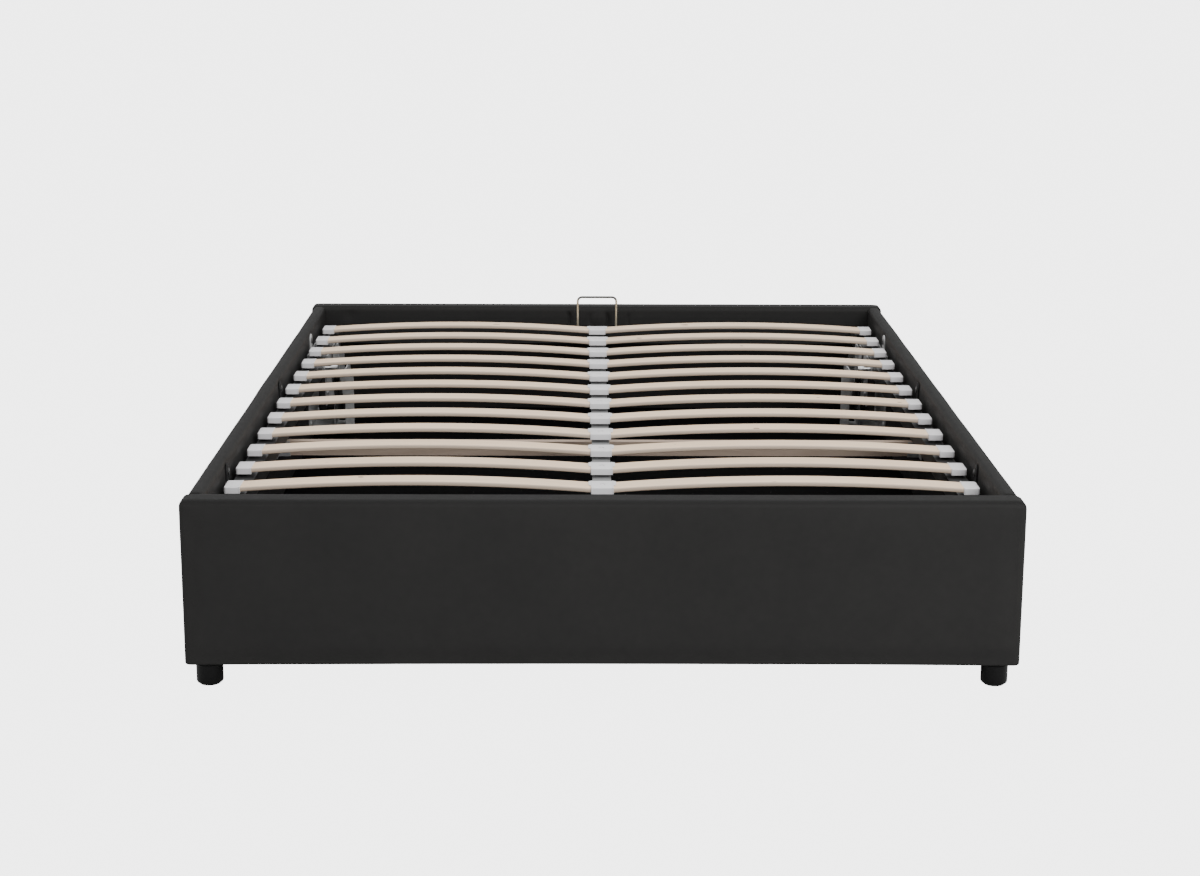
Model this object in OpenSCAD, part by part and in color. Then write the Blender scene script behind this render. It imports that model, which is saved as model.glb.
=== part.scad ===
// Upholstered storage bed base with a lifting slatted platform.
// Origin: floor level at the middle of the bed. +Z up, the foot end is at -Y, the head end at +Y.

/* [Bed size] */
// Width over the two end panels
bed_w = 1600; // [1300:5:2000]
// Length over the two end panels
bed_l = 2150; // [1900:5:2400]
// Height of the upholstered panels and rails
panel_h = 320; // [280:5:420]
// Height of the legs
leg_h = 50; // [40:1:90]

/* [Panels and rails] */
// Thickness of an end panel with its cover
end_t = 60; // [48:1:80]
// Thickness of a side rail with its cover
rail_t = 33; // [28:1:50]
// How far the side rails stand in from the ends of the end panels
rail_inset = 7; // [2:1:20]
// Thickness of the padded cover on an end panel
end_pad = 8; // [4:0.5:12]
// Thickness of the padded cover on a side rail
rail_pad = 6; // [3:0.5:8]
// How far the boards stand above the lower edge of their covers
hem_up = 6; // [3:0.5:12]
// Rounding of the padded top edges
pad_round = 12; // [8:1:14]

/* [Slatted platform] */
// Gap between the platform and the side rails
side_gap = 10; // [6:1:20]
// Gap between the platform and the end panels
end_gap = 15; // [12:1:30]
// Side of the square frame tubes
tube = 40; // [32:1:50]
// Wall of the frame tubes
tube_wall = 2; // [1.5:0.5:3]
// How far the slat caps stand below the top of the rails
cap_drop = 28; // [20:1:45]
// Distance from the foot end of the platform to the middle of the first slat row
first_row = 179; // [120:1:200]
// Distance from the head end of the platform to the middle of the last slat row
last_row = 129; // [110:1:160]
// Width of a slat
slat_w = 53; // [45:1:60]
// Thickness of a slat
slat_t = 9.5; // [7:0.5:10]
// How far the middle of a slat bows up
slat_bow = 15; // [8:1:20]

/* [Slat caps] */
// Length of a cap across the slat
cap_l = 57; // [56:1:70]
// Width of an end cap along the slat
cap_w = 32; // [26:1:40]
// Height of a cap
cap_h = 14; // [13.5:0.5:18]
// Height of the peg that shows under a cap
peg_gap = 6; // [2:0.5:8]
// Width of the double cap on the centre rail
centre_cap_w = 48; // [44:1:60]

/* [Lift mechanism] */
// Distance from the head panel's inner face to the lift pivot
pivot_back = 260; // [255:1:320]
// Radius of the lift pivot
pivot_r = 6; // [5:0.5:8]
// Radius of the gas cylinder
cylinder_r = 11; // [9:0.5:12]
// Radius of the piston rod
rod_r = 5; // [4:0.5:6]
// Thickness of the steel plates
plate_t = 3; // [2:0.5:4]

/* [Inside] */
// Height of the cross rail at mid-length
cross_h = 34; // [28:1:60]
// Thickness of the cross rail
cross_t = 22; // [18:1:30]
// Height of the cross rail's lower edge above the floor
cross_z = 199; // [150:1:225]
// Thickness of the storage floor boards
floor_t = 8; // [5:1:12]
// Height of the battens that carry the storage floor
batten_h = 20; // [16:1:30]
// Radius of a leg
leg_r = 26; // [20:1:28]

/* [Hidden] */
$fn = 48;
fine = 256;
// Clearances: under the platform, on a turning pin, round a bolt; and how far a cut runs past a face.
gap = 0.3;
run = 0.05;
bolt_gap = 0.1;
bore_over = 1;

// Faces of the box
top_z = leg_h + panel_h;
end_x = bed_w / 2;
end_y = bed_l / 2;
in_y = end_y - end_t;
out_x = end_x - rail_inset;
in_x = out_x - rail_t;

// Bolts and screws of the box
bolt_r = 4;
bolt_head_r = 7;
bolt_head_t = 4;
screw_head_t = 2.5;
bolt_in = 20;
stud_in = 30;

// Corner brackets
bracket_w = 50;
bracket_h = 160;
bracket_z = leg_h + 50;
bracket_mid = bracket_w / 2 + 6;
bolt_up = 35;
bolt_rows = [bracket_z + bolt_up, bracket_z + bracket_h - bolt_up];

// Storage floor and legs
batten_w = 25;
batten_z = leg_h + 8;
floor_z = batten_z + batten_h;
floor_top = floor_z + floor_t;
board_gap = 1;
centre_batten_half = 30;
leg_x = end_x - 42;
leg_y = in_y + 18;
foot_round = 6;
centre_leg_r = leg_r - 10;
centre_foot_r = leg_r - 6;
centre_foot_h = 8;

// Hangers of the cross rail
hanger_l = 30;
hanger_wall = 2;
hanger_half = cross_t / 2 + 30;
hanger_bolts = [-(cross_t / 2 + 18), cross_t / 2 + 18];
hanger_bolt_z = cross_z + cross_h / 2;

// Faces of the platform
plat_x = in_x - side_gap;
plat_y = in_y - end_gap;
cap_top = top_z - cap_drop;
cap_z = cap_top - cap_h;
tube_top = cap_z - peg_gap;
tube_z = tube_top - tube;
tube_in = plat_x - tube;
centre_half = 19;
plug_t = 3;
plug_l = 12;
tube_end = plat_y - plug_t;

// Slats and their caps
slat_rows = 12;
slat_out = plat_x - 5;
slat_in = 8;
slat_chord = slat_out - slat_in;
slat_mid = (slat_out + slat_in) / 2;
slat_z = cap_z + 1;
slat_r = (slat_chord * slat_chord / 4 + slat_bow * slat_bow) / (2 * slat_bow);
slat_gap = 0.15;
row_pitch = (2 * plat_y - first_row - last_row) / (slat_rows - 1);
rows = [for (k = [0:slat_rows - 1]) -plat_y + first_row + k * row_pitch];
cap_round = 3;
peg_r = 4;
peg_down = 10;
peg_up = 1;
peg_x = plat_x - cap_w / 2;
seat_r = 6;
seat_deep = 1.5;

// Rests for the platform
rest_w = 36;
rest_pad_t = 2.7;
pad_in = 3;
rest_z = tube_z - gap - rest_pad_t;
shelf_x = plat_x - 22;
screw_z = top_z - 25;
rest_rows = [-plat_y + 260, plat_y * 0.06];

// Lift pivot, strut pins and the planes of the plates on the right-hand side.
// The strut follows the lift at a constant ratio only with these three distances.
arm_reach = 242;
base_ahead = 76;
base_below = 165;
pivot_y = in_y - pivot_back;
pivot_z = tube_z + tube / 2;
pin_y = pivot_y - arm_reach;
pin_z = pivot_z;
base_y = pivot_y - base_ahead;
base_z = pivot_z - base_below;
strut_len = sqrt(pow(base_y - pin_y, 2) + pow(pin_z - base_z, 2));
strut_tilt = atan2(pin_z - base_z, pin_y - base_y);
plate_gap = 5;
arm_t = 4;
arm_h = tube - 6;
arm_x = tube_in - arm_t;
arm_bolt_y = [pin_y + 60, pivot_y - 60];
arm_bolt_head_t = 3;
mid_x = arm_x - plate_gap - plate_t;
strut_x = mid_x - plate_gap - cylinder_r;
cheek_x = strut_x - cylinder_r - plate_gap - 1 - plate_t;
bush_r = pivot_r + 4;
pin_head_r = pivot_r + 4;
pin_head_t = 4;
strut_pin_r = 4;
strut_pin_head_r = 8;
strut_pin_head_t = 3;
washer_t = 2;

// Base bracket of the lift
mech_z = base_z - 24;
wall_y = [pivot_y - 170, pivot_y + 30];
wall_top = pivot_z + 18;
cheek_y = [base_y - 78, base_y + 42];
cheek_top = pivot_z - 22;
guard_w = 23;
mid_y = [base_y - 24, pivot_y + 20];
web_y = pivot_y - 30;
ear_y = pivot_y - 95;
mech_bolts = [for (y = [pivot_y - 150, pivot_y + 10]) for (z = [mech_z + 20, mech_z + 110]) [y, z]];
screw_rows = concat(rest_rows, [ear_y]);

// Gas strut, measured from its lower pin
eye_r = 12;
eye_w = 12;
open_play = 3.5;
cyl_wall = 1.5;
cyl_base = 6;
cyl_from = eye_r + 2;
cyl_to = strut_len - eye_r - 22;
gland_l = 14;
neck_from = eye_r - 4;
neck_l = 8;
neck_r = eye_w / 2 - 1.5;
rod_tail = 60;
rod_neck_l = 13;
rod_neck_r = eye_w / 2 + 0.5;
piston_l = 10;

// Mattress stop
stop_r = 3;
stop_half = 53.5;
stop_top = top_z + 42;
stop_bend = 12;
stop_y = plat_y - 25;
stop_seat = 14;

// Pull strap
strap_w = 40;
strap_t = 3;
strap_d = 30;
strap_h = 95;

function clear_r(r) = r + bolt_gap;

// Box from one corner to the opposite one.
module span(a, b) {
    translate([min(a[0], b[0]), min(a[1], b[1]), min(a[2], b[2])])
        cube([abs(b[0] - a[0]), abs(b[1] - a[1]), abs(b[2] - a[2])]);
}

// Cylinder along X between two x values.
module rod_x(x0, x1, y, z, r) {
    translate([min(x0, x1), y, z]) rotate([0, 90, 0]) cylinder(r = r, h = abs(x1 - x0));
}

// Cylinder along Y between two y values.
module rod_y(x, y0, y1, z, r) {
    translate([x, max(y0, y1), z]) rotate([90, 0, 0]) cylinder(r = r, h = abs(y1 - y0));
}

// The children at both sides, mirrored across the bed's length axis.
module both_sides() {
    children();
    mirror([1, 0, 0]) children();
}

// Side: 1 is right, -1 is left.
module on_side(side) {
    if (side > 0) children();
    else mirror([1, 0, 0]) children();
}

// Outline with two rounded upper corners, from the origin, w wide and h high.
module arched(w, h, r) {
    square([w, h - r]);
    translate([r, 0]) square([w - 2 * r, h]);
    translate([r, h - r]) circle(r = r);
    translate([w - r, h - r]) circle(r = r);
}

// Plate outline, length l and height h, with both ends round.
module pill(l, h) {
    square([l - h, h], center = true);
    translate([(l - h) / 2, 0]) circle(d = h);
    translate([-(l - h) / 2, 0]) circle(d = h);
}

// ---- upholstered box ----

// Where the corner bolts go, as pieces of radius r: along X into a rail, along Y into an end panel.
module corner_bolt_shanks(r) {
    for (z = bolt_rows) both_sides() for (e = [-1, 1]) {
        rod_x(in_x - plate_t, in_x + bolt_in, e * (in_y - bracket_mid), z, r);
        rod_y(in_x - bracket_mid, e * (in_y - plate_t), e * (in_y + bolt_in), z, r);
    }
}

// Where the rest screws and the base bracket's bolts go into the rails.
module rail_bolt_shanks(r) {
    both_sides() {
        for (y = screw_rows) rod_x(in_x - plate_t, in_x + bolt_in, y, screw_z, r);
        for (b = mech_bolts) rod_x(in_x - plate_t, in_x + bolt_in, b[0], b[1], r);
        for (y = hanger_bolts) rod_x(in_x - plate_t, in_x + bolt_in, y, hanger_bolt_z, r);
    }
}

module end_board(e) {
    color("#8a7358") difference() {
        span([-(end_x - end_pad), e * (in_y + end_pad), leg_h + hem_up],
            [end_x - end_pad, e * (end_y - end_pad), top_z - end_pad]);
        corner_bolt_shanks(clear_r(bolt_r));
        leg_studs(clear_r(bolt_r));
    }
}

module end_cover(e) {
    color("#2e2e2d") difference() {
        intersection() {
            translate([-end_x, e > 0 ? in_y : -end_y, leg_h]) rotate([90, 0, 90])
                linear_extrude(bed_w) arched(end_t, panel_h, pad_round);
            translate([-end_x, e > 0 ? end_y : -in_y, leg_h]) rotate([90, 0, 0])
                linear_extrude(end_t) arched(bed_w, panel_h, pad_round);
        }
        span([-(end_x - end_pad), e * (in_y + end_pad), leg_h - bore_over],
            [end_x - end_pad, e * (end_y - end_pad), top_z - end_pad]);
        corner_bolt_shanks(clear_r(bolt_r));
    }
}

module rail_board(side) {
    color("#8a7358") on_side(side) difference() {
        span([in_x + rail_pad, -in_y, leg_h + hem_up], [out_x - rail_pad, in_y, top_z - rail_pad]);
        corner_bolt_shanks(clear_r(bolt_r));
        rail_bolt_shanks(clear_r(bolt_r));
    }
}

module rail_cover(side) {
    color("#2e2e2d") on_side(side) difference() {
        translate([in_x, in_y, leg_h]) rotate([90, 0, 0])
            linear_extrude(2 * in_y) arched(rail_t, panel_h, pad_round);
        span([in_x + rail_pad, -in_y - bore_over, leg_h - bore_over],
            [out_x - rail_pad, in_y + bore_over, top_z - rail_pad]);
        corner_bolt_shanks(clear_r(bolt_r));
        rail_bolt_shanks(clear_r(bolt_r));
    }
}

module foot_board() { end_board(-1); }
module foot_cover() { end_cover(-1); }
module head_board() { end_board(1); }
module head_cover() { end_cover(1); }
module left_rail_board() { rail_board(-1); }
module left_rail_cover() { rail_cover(-1); }
module right_rail_board() { rail_board(1); }
module right_rail_cover() { rail_cover(1); }

module corner_brackets() {
    color("#8f9194") difference() {
        both_sides() for (e = [-1, 1]) {
            span([in_x - plate_t, e * (in_y - bracket_w), bracket_z],
                [in_x, e * in_y, bracket_z + bracket_h]);
            span([in_x - bracket_w, e * (in_y - plate_t), bracket_z],
                [in_x, e * in_y, bracket_z + bracket_h]);
        }
        corner_bolt_shanks(clear_r(bolt_r));
    }
}

module frame_bolts() {
    color("#b9bbbe") {
        corner_bolt_shanks(bolt_r);
        for (z = bolt_rows) both_sides() for (e = [-1, 1]) {
            rod_x(in_x - plate_t - bolt_head_t, in_x - plate_t, e * (in_y - bracket_mid), z, bolt_head_r);
            rod_y(in_x - bracket_mid, e * (in_y - plate_t - bolt_head_t), e * (in_y - plate_t), z,
                bolt_head_r);
        }
    }
}

// ---- inside the box ----

module mid_cross_rail() {
    color("#d8c3a0") span([-(in_x - plate_t), -cross_t / 2, cross_z],
        [in_x - plate_t, cross_t / 2, cross_z + cross_h]);
}

// U-shaped hanger with two ears: the cross rail drops into it from above.
module cross_rail_hangers() {
    side_y = cross_t / 2 + hanger_wall;
    low_z = cross_z - hanger_wall;
    color("#8f9194") difference() {
        both_sides() {
            span([in_x - plate_t, -hanger_half, low_z], [in_x, hanger_half, cross_z + cross_h]);
            span([in_x - hanger_l, -side_y, low_z], [in_x, side_y, cross_z]);
            for (e = [-1, 1]) span([in_x - hanger_l, e * cross_t / 2, low_z],
                [in_x, e * side_y, cross_z + cross_h]);
        }
        rail_bolt_shanks(clear_r(bolt_r));
    }
}

module floor_battens() {
    color("#c9ae84") {
        both_sides() span([in_x - batten_w, -in_y, batten_z], [in_x, in_y, floor_z]);
        for (e = [-1, 1]) span([-(in_x - batten_w), e * (in_y - batten_w), batten_z],
            [in_x - batten_w, e * in_y, floor_z]);
    }
}

module floor_centre_batten() {
    color("#c9ae84") span([-centre_batten_half, -(in_y - batten_w), batten_z],
        [centre_batten_half, in_y - batten_w, floor_z]);
}

module floor_boards() {
    color("#242424") both_sides() for (e = [-1, 1])
        span([board_gap, e * board_gap, floor_z],
            [in_x - board_gap, e * (in_y - board_gap - plate_t), floor_top]);
}

// The threaded studs that hold the corner legs in the end boards, of radius r.
module leg_studs(r) {
    for (sx = [-1, 1]) for (sy = [-1, 1]) translate([sx * leg_x, sy * leg_y, leg_h])
        cylinder(r = r, h = hem_up + stud_in);
}

module leg(sx, sy) {
    color("#161616") translate([sx * leg_x, sy * leg_y, 0]) {
        rotate_extrude() {
            square([leg_r - foot_round, leg_h]);
            translate([0, foot_round]) square([leg_r, leg_h - foot_round]);
            translate([leg_r - foot_round, foot_round]) circle(r = foot_round);
        }
        cylinder(r = bolt_r, h = leg_h + hem_up + stud_in);
    }
}

module leg_foot_left() { leg(-1, -1); }
module leg_foot_right() { leg(1, -1); }
module leg_head_left() { leg(-1, 1); }
module leg_head_right() { leg(1, 1); }

module centre_legs() {
    color("#161616") for (y = [-in_y / 2, 0, in_y / 2])
        translate([0, y, 0]) {
            cylinder(r = centre_foot_r, h = centre_foot_h);
            cylinder(r = centre_leg_r, h = batten_z);
        }
}

// ---- rests for the platform ----

// Ear that is screwed to the rail, round at its top, from z up.
module screw_ear(y, z) {
    span([in_x - plate_t, y - rest_w / 2, z], [in_x, y + rest_w / 2, screw_z]);
    rod_x(in_x - plate_t, in_x, y, screw_z, rest_w / 2);
}

module frame_rests() {
    color("#3c3d3f") difference() {
        both_sides() for (y = rest_rows) {
            screw_ear(y, rest_z - plate_t);
            span([shelf_x, y - rest_w / 2, rest_z - plate_t], [in_x, y + rest_w / 2, rest_z]);
        }
        rail_bolt_shanks(clear_r(bolt_r));
    }
}

module rest_pads() {
    color("#1c1c1c") both_sides() for (y = rest_rows)
        span([shelf_x, y - rest_w / 2 + pad_in, rest_z],
            [plat_x, y + rest_w / 2 - pad_in, rest_z + rest_pad_t]);
}

// ---- base brackets of the lift mechanism ----

module base_bracket(side) {
    color("#9c9fa2") on_side(side) difference() {
        union() {
            span([in_x - plate_t, wall_y[0], mech_z], [in_x, wall_y[1], wall_top]);
            screw_ear(ear_y, pivot_z);
            span([cheek_x, cheek_y[0], mech_z], [in_x, cheek_y[1], mech_z + plate_t]);
            span([cheek_x, cheek_y[0], mech_z], [cheek_x + plate_t, cheek_y[1], cheek_top]);
            span([cheek_x + plate_t - guard_w, cheek_y[0], mech_z],
                [cheek_x + plate_t, cheek_y[0] + plate_t, cheek_top]);
            span([mid_x, mid_y[0], mech_z], [mid_x + plate_t, mid_y[1], wall_top]);
            span([mid_x, web_y, mech_z], [in_x, mid_y[1], mech_z + plate_t]);
        }
        rod_x(cheek_x - bore_over, mid_x + plate_t + bore_over, base_y, base_z, strut_pin_r + run);
        rod_x(mid_x - bore_over, in_x + bore_over, pivot_y, pivot_z, clear_r(pivot_r));
        rail_bolt_shanks(clear_r(bolt_r));
    }
}

module left_base_bracket() { base_bracket(-1); }
module right_base_bracket() { base_bracket(1); }

// Pivot pin and the strut's lower pin, both held by the base bracket.
module pivot_pin(side) {
    color("#c4c6c8") on_side(side) {
        rod_x(mid_x - pin_head_t, in_x, pivot_y, pivot_z, pivot_r);
        rod_x(mid_x - pin_head_t, mid_x, pivot_y, pivot_z, pin_head_r);
        rod_x(cheek_x - strut_pin_head_t, mid_x + plate_t + washer_t, base_y, base_z, strut_pin_r);
        rod_x(cheek_x - strut_pin_head_t, cheek_x, base_y, base_z, strut_pin_head_r);
    }
}

module left_pivot_pin() { pivot_pin(-1); }
module right_pivot_pin() { pivot_pin(1); }

module bracket_bolts() {
    face_x = in_x - plate_t;
    head_x = face_x - screw_head_t;
    color("#b9bbbe") {
        rail_bolt_shanks(bolt_r);
        both_sides() {
            for (b = mech_bolts) rod_x(head_x, face_x, b[0], b[1], bolt_head_r);
            for (y = screw_rows) rod_x(head_x, face_x, y, screw_z, bolt_head_r);
            for (y = hanger_bolts) rod_x(head_x, face_x, y, hanger_bolt_z, bolt_head_r);
        }
    }
}

// ---- slatted platform ----

module peg_holes() {
    for (y = rows) {
        for (x = [-peg_x, 0, peg_x]) translate([x, y, tube_top - peg_down - bore_over])
            cylinder(r = clear_r(peg_r), h = peg_down + 2 * bore_over);
    }
}

module arm_bolt_shanks(r) {
    both_sides() for (y = arm_bolt_y) rod_x(arm_x, plat_x, y, pivot_z, r);
}

module side_tube(side) {
    color("#1f1f20") on_side(side) difference() {
        span([tube_in, -tube_end, tube_z], [plat_x, tube_end, tube_top]);
        span([tube_in + tube_wall, -tube_end - bore_over, tube_z + tube_wall],
            [plat_x - tube_wall, tube_end + bore_over, tube_top - tube_wall]);
        peg_holes();
        rod_x(tube_in - bore_over, plat_x + bore_over, pivot_y, pivot_z, clear_r(bush_r));
        arm_bolt_shanks(clear_r(bolt_r));
    }
}

module left_side_tube() { side_tube(-1); }
module right_side_tube() { side_tube(1); }

// Cross tube between the side tubes, from y0 to y0 + tube.
module cross_tube(y0) {
    difference() {
        span([-tube_in, y0, tube_z], [tube_in, y0 + tube, tube_top]);
        span([-tube_in - bore_over, y0 + tube_wall, tube_z + tube_wall],
            [tube_in + bore_over, y0 + tube - tube_wall, tube_top - tube_wall]);
        both_sides() translate([stop_half, stop_y, tube_top - stop_seat])
            cylinder(r = stop_r + run, h = stop_seat + bore_over);
    }
}

module head_tube() { color("#1f1f20") cross_tube(plat_y - plug_t - tube); }
module foot_tube() { color("#1f1f20") cross_tube(-(plat_y - plug_t)); }

module centre_rail() {
    end = plat_y - plug_t - tube;
    color("#7d7f82") difference() {
        span([-centre_half, -end, tube_z], [centre_half, end, tube_top]);
        span([-centre_half + tube_wall, -end - bore_over, tube_z + tube_wall],
            [centre_half - tube_wall, end + bore_over, tube_top - tube_wall]);
        peg_holes();
    }
}

// Plastic plugs in the open ends of the side tubes.
module tube_plugs() {
    color("#171717") both_sides() for (e = [-1, 1]) {
        span([tube_in, e * tube_end, tube_z], [plat_x, e * plat_y, tube_top]);
        span([tube_in + tube_wall, e * (tube_end - plug_l), tube_z + tube_wall],
            [plat_x - tube_wall, e * tube_end, tube_top - tube_wall]);
    }
}

// One bowed slat of the right half, grown by g on its broad faces, edges and ends.
module bowed_slat(y, g = 0) {
    low_r = slat_r - g;
    high_r = slat_r + slat_t + g;
    translate([slat_mid, y, slat_z + slat_bow - slat_r]) intersection() {
        rotate([90, 0, 0]) difference() {
            cylinder(r = high_r, h = slat_w + 2 * g, center = true, $fn = fine);
            cylinder(r = low_r, h = slat_w + 2 * g + bore_over, center = true, $fn = fine);
        }
        translate([0, 0, slat_r]) cube([slat_chord + 2 * g, slat_w + 2 * g, 6 * slat_bow], center = true);
    }
}

module slat_row(k) { color("#dccbb6") both_sides() bowed_slat(rows[k]); }

module slat_row_01() { slat_row(0); }
module slat_row_02() { slat_row(1); }
module slat_row_03() { slat_row(2); }
module slat_row_04() { slat_row(3); }
module slat_row_05() { slat_row(4); }
module slat_row_06() { slat_row(5); }
module slat_row_07() { slat_row(6); }
module slat_row_08() { slat_row(7); }
module slat_row_09() { slat_row(8); }
module slat_row_10() { slat_row(9); }
module slat_row_11() { slat_row(10); }
module slat_row_12() { slat_row(11); }

module end_cap(y) {
    difference() {
        translate([plat_x - cap_w, y + cap_l / 2, cap_z]) rotate([90, 0, 0])
            linear_extrude(cap_l) arched(cap_w, cap_h, cap_round);
        bowed_slat(y, slat_gap);
    }
    translate([peg_x, y, tube_top - peg_down]) cylinder(r = peg_r, h = peg_down + peg_gap + peg_up);
}

module left_end_caps() { color("#dad7d5") mirror([1, 0, 0]) for (y = rows) end_cap(y); }
module right_end_caps() { color("#dad7d5") for (y = rows) end_cap(y); }

// Double cap on the centre rail, with the round rivet seat in its middle.
module centre_caps() {
    color("#dad7d5") for (y = rows) {
        difference() {
            translate([-centre_cap_w / 2, y + cap_l / 2, cap_z]) rotate([90, 0, 0])
                linear_extrude(cap_l) arched(centre_cap_w, cap_h, cap_round);
            both_sides() bowed_slat(y, slat_gap);
            translate([0, y, cap_top - seat_deep]) cylinder(r = seat_r, h = seat_deep + bore_over);
        }
        translate([0, y, tube_top - peg_down]) cylinder(r = peg_r, h = peg_down + peg_gap + peg_up);
    }
}

// U-shaped rod that keeps the mattress from sliding off the raised platform.
module mattress_stop() {
    leg_top = stop_top - stop_r - stop_bend;
    color("#b59a55") translate([0, stop_y, 0]) {
        both_sides() {
            translate([stop_half, 0, tube_top - stop_seat])
                cylinder(r = stop_r, h = leg_top - tube_top + stop_seat);
            translate([stop_half - stop_bend, 0, leg_top]) rotate([90, 0, 0])
                rotate_extrude(angle = 90) translate([stop_bend, 0]) circle(r = stop_r);
        }
        rod_x(-(stop_half - stop_bend), stop_half - stop_bend, 0, leg_top + stop_bend, stop_r);
    }
}

module lift_arm(side) {
    color("#9c9fa2") on_side(side) difference() {
        translate([arm_x, (pivot_y + pin_y) / 2, pivot_z]) rotate([90, 0, 90])
            linear_extrude(arm_t) pill(arm_reach + arm_h, arm_h);
        rod_x(arm_x - bore_over, tube_in + bore_over, pivot_y, pivot_z, clear_r(bush_r));
        rod_x(arm_x - bore_over, tube_in + bore_over, pin_y, pin_z, strut_pin_r + run);
        arm_bolt_shanks(clear_r(bolt_r));
    }
}

module left_lift_arm() { lift_arm(-1); }
module right_lift_arm() { lift_arm(1); }

module pivot_bushes() {
    color("#33373b") both_sides() difference() {
        rod_x(arm_x, plat_x, pivot_y, pivot_z, bush_r);
        rod_x(arm_x - bore_over, plat_x + bore_over, pivot_y, pivot_z, pivot_r + run);
    }
}

// Bolts that hold the lift arms on the side tubes, and the strut's upper pins.
module arm_bolts() {
    washer_x = strut_x - eye_w / 2 - washer_t - 1;
    color("#c4c6c8") {
        arm_bolt_shanks(bolt_r);
        both_sides() {
            for (y = arm_bolt_y) rod_x(plat_x, plat_x + arm_bolt_head_t, y, pivot_z, bolt_head_r);
            rod_x(washer_x, tube_in, pin_y, pin_z, strut_pin_r);
            rod_x(washer_x, washer_x + washer_t, pin_y, pin_z, eye_r - 1);
        }
    }
}

// Webbing loop under the foot tube, to raise the platform by.
module pull_strap() {
    color("#191919") translate([0, -(plat_y - plug_t - tube / 2), tube_z]) rotate([90, 0, 90])
        linear_extrude(strap_w, center = true) difference() {
            strap_outline(strap_d, strap_h);
            translate([0, -strap_t]) strap_outline(strap_d - 2 * strap_t, strap_h - 2 * strap_t);
        }
}

// Hanging loop outline, d wide and h long, round at its lower end.
module strap_outline(d, h) {
    translate([0, d / 2 - h]) circle(d = d);
    translate([-d / 2, d / 2 - h]) square([d, h - d / 2]);
}

// ---- gas struts ----

// Puts what is built along +Z from the lower pin into the strut's place.
module along_strut(side) {
    on_side(side) translate([strut_x, base_y, base_z]) rotate([strut_tilt - 90, 0, 0]) children();
}

module strut_eye(bore) {
    difference() {
        rod_x(-eye_w / 2, eye_w / 2, 0, 0, eye_r);
        rod_x(-eye_w / 2 - bore_over, eye_w / 2 + bore_over, 0, 0, bore);
    }
}

module gas_cylinder(side) {
    bore_from = cyl_from + cyl_base;
    color("#2a2b2d") along_strut(side) {
        strut_eye(strut_pin_r + run);
        difference() {
            union() {
                translate([0, 0, cyl_from]) cylinder(r = cylinder_r, h = cyl_to - cyl_from);
                translate([0, 0, neck_from]) cylinder(r = neck_r, h = neck_l);
            }
            translate([0, 0, bore_from]) cylinder(r = cylinder_r - cyl_wall, h = cyl_to - gland_l - bore_from);
            translate([0, 0, bore_from]) cylinder(r = rod_r + run, h = cyl_to);
        }
    }
}

module gas_rod(side) {
    color("#b5b7ba") along_strut(side) {
        translate([0, 0, strut_len]) strut_eye(strut_pin_r + open_play);
        translate([0, 0, rod_tail]) cylinder(r = rod_r, h = strut_len - eye_r - rod_tail + 2);
        translate([0, 0, strut_len - eye_r + 1 - rod_neck_l]) cylinder(r = rod_neck_r, h = rod_neck_l);
        translate([0, 0, rod_tail]) cylinder(r = cylinder_r - cyl_wall - run, h = piston_l);
    }
}

module left_gas_cylinder() { gas_cylinder(-1); }
module left_gas_rod() { gas_rod(-1); }
module right_gas_cylinder() { gas_cylinder(1); }
module right_gas_rod() { gas_rod(1); }

foot_board();
foot_cover();
head_board();
head_cover();
left_rail_board();
left_rail_cover();
right_rail_board();
right_rail_cover();
corner_brackets();
frame_bolts();
mid_cross_rail();
cross_rail_hangers();
floor_battens();
floor_centre_batten();
floor_boards();
leg_foot_left();
leg_foot_right();
leg_head_left();
leg_head_right();
centre_legs();
frame_rests();
rest_pads();
left_base_bracket();
right_base_bracket();
left_pivot_pin();
right_pivot_pin();
bracket_bolts();
left_side_tube();
right_side_tube();
head_tube();
foot_tube();
centre_rail();
tube_plugs();
slat_row_01();
slat_row_02();
slat_row_03();
slat_row_04();
slat_row_05();
slat_row_06();
slat_row_07();
slat_row_08();
slat_row_09();
slat_row_10();
slat_row_11();
slat_row_12();
left_end_caps();
right_end_caps();
centre_caps();
mattress_stop();
left_lift_arm();
right_lift_arm();
pivot_bushes();
arm_bolts();
pull_strap();
left_gas_cylinder();
left_gas_rod();
right_gas_cylinder();
right_gas_rod();
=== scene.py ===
import math

import bpy
from mathutils import Matrix, Vector, noise


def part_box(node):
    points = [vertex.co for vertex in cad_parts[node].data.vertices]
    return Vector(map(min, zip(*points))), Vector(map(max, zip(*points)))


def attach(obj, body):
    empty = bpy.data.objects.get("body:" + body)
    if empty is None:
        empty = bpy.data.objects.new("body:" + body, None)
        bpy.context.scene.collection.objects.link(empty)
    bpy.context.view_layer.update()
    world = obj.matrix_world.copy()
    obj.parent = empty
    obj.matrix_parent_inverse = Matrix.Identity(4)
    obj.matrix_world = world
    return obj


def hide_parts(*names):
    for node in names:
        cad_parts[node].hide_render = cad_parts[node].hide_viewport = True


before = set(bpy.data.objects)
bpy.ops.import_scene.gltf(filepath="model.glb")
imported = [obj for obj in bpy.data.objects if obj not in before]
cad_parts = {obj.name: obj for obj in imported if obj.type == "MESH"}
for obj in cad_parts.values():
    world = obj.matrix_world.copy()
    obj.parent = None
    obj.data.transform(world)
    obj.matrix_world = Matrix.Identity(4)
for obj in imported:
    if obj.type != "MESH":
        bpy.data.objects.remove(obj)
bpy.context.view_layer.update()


# ---- Room and camera ----
# A pale studio floor under a large soft light from above, with smaller ones from front right and left.
# The camera stands at the foot of the bed, a little left of its middle, and looks slightly down.

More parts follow.
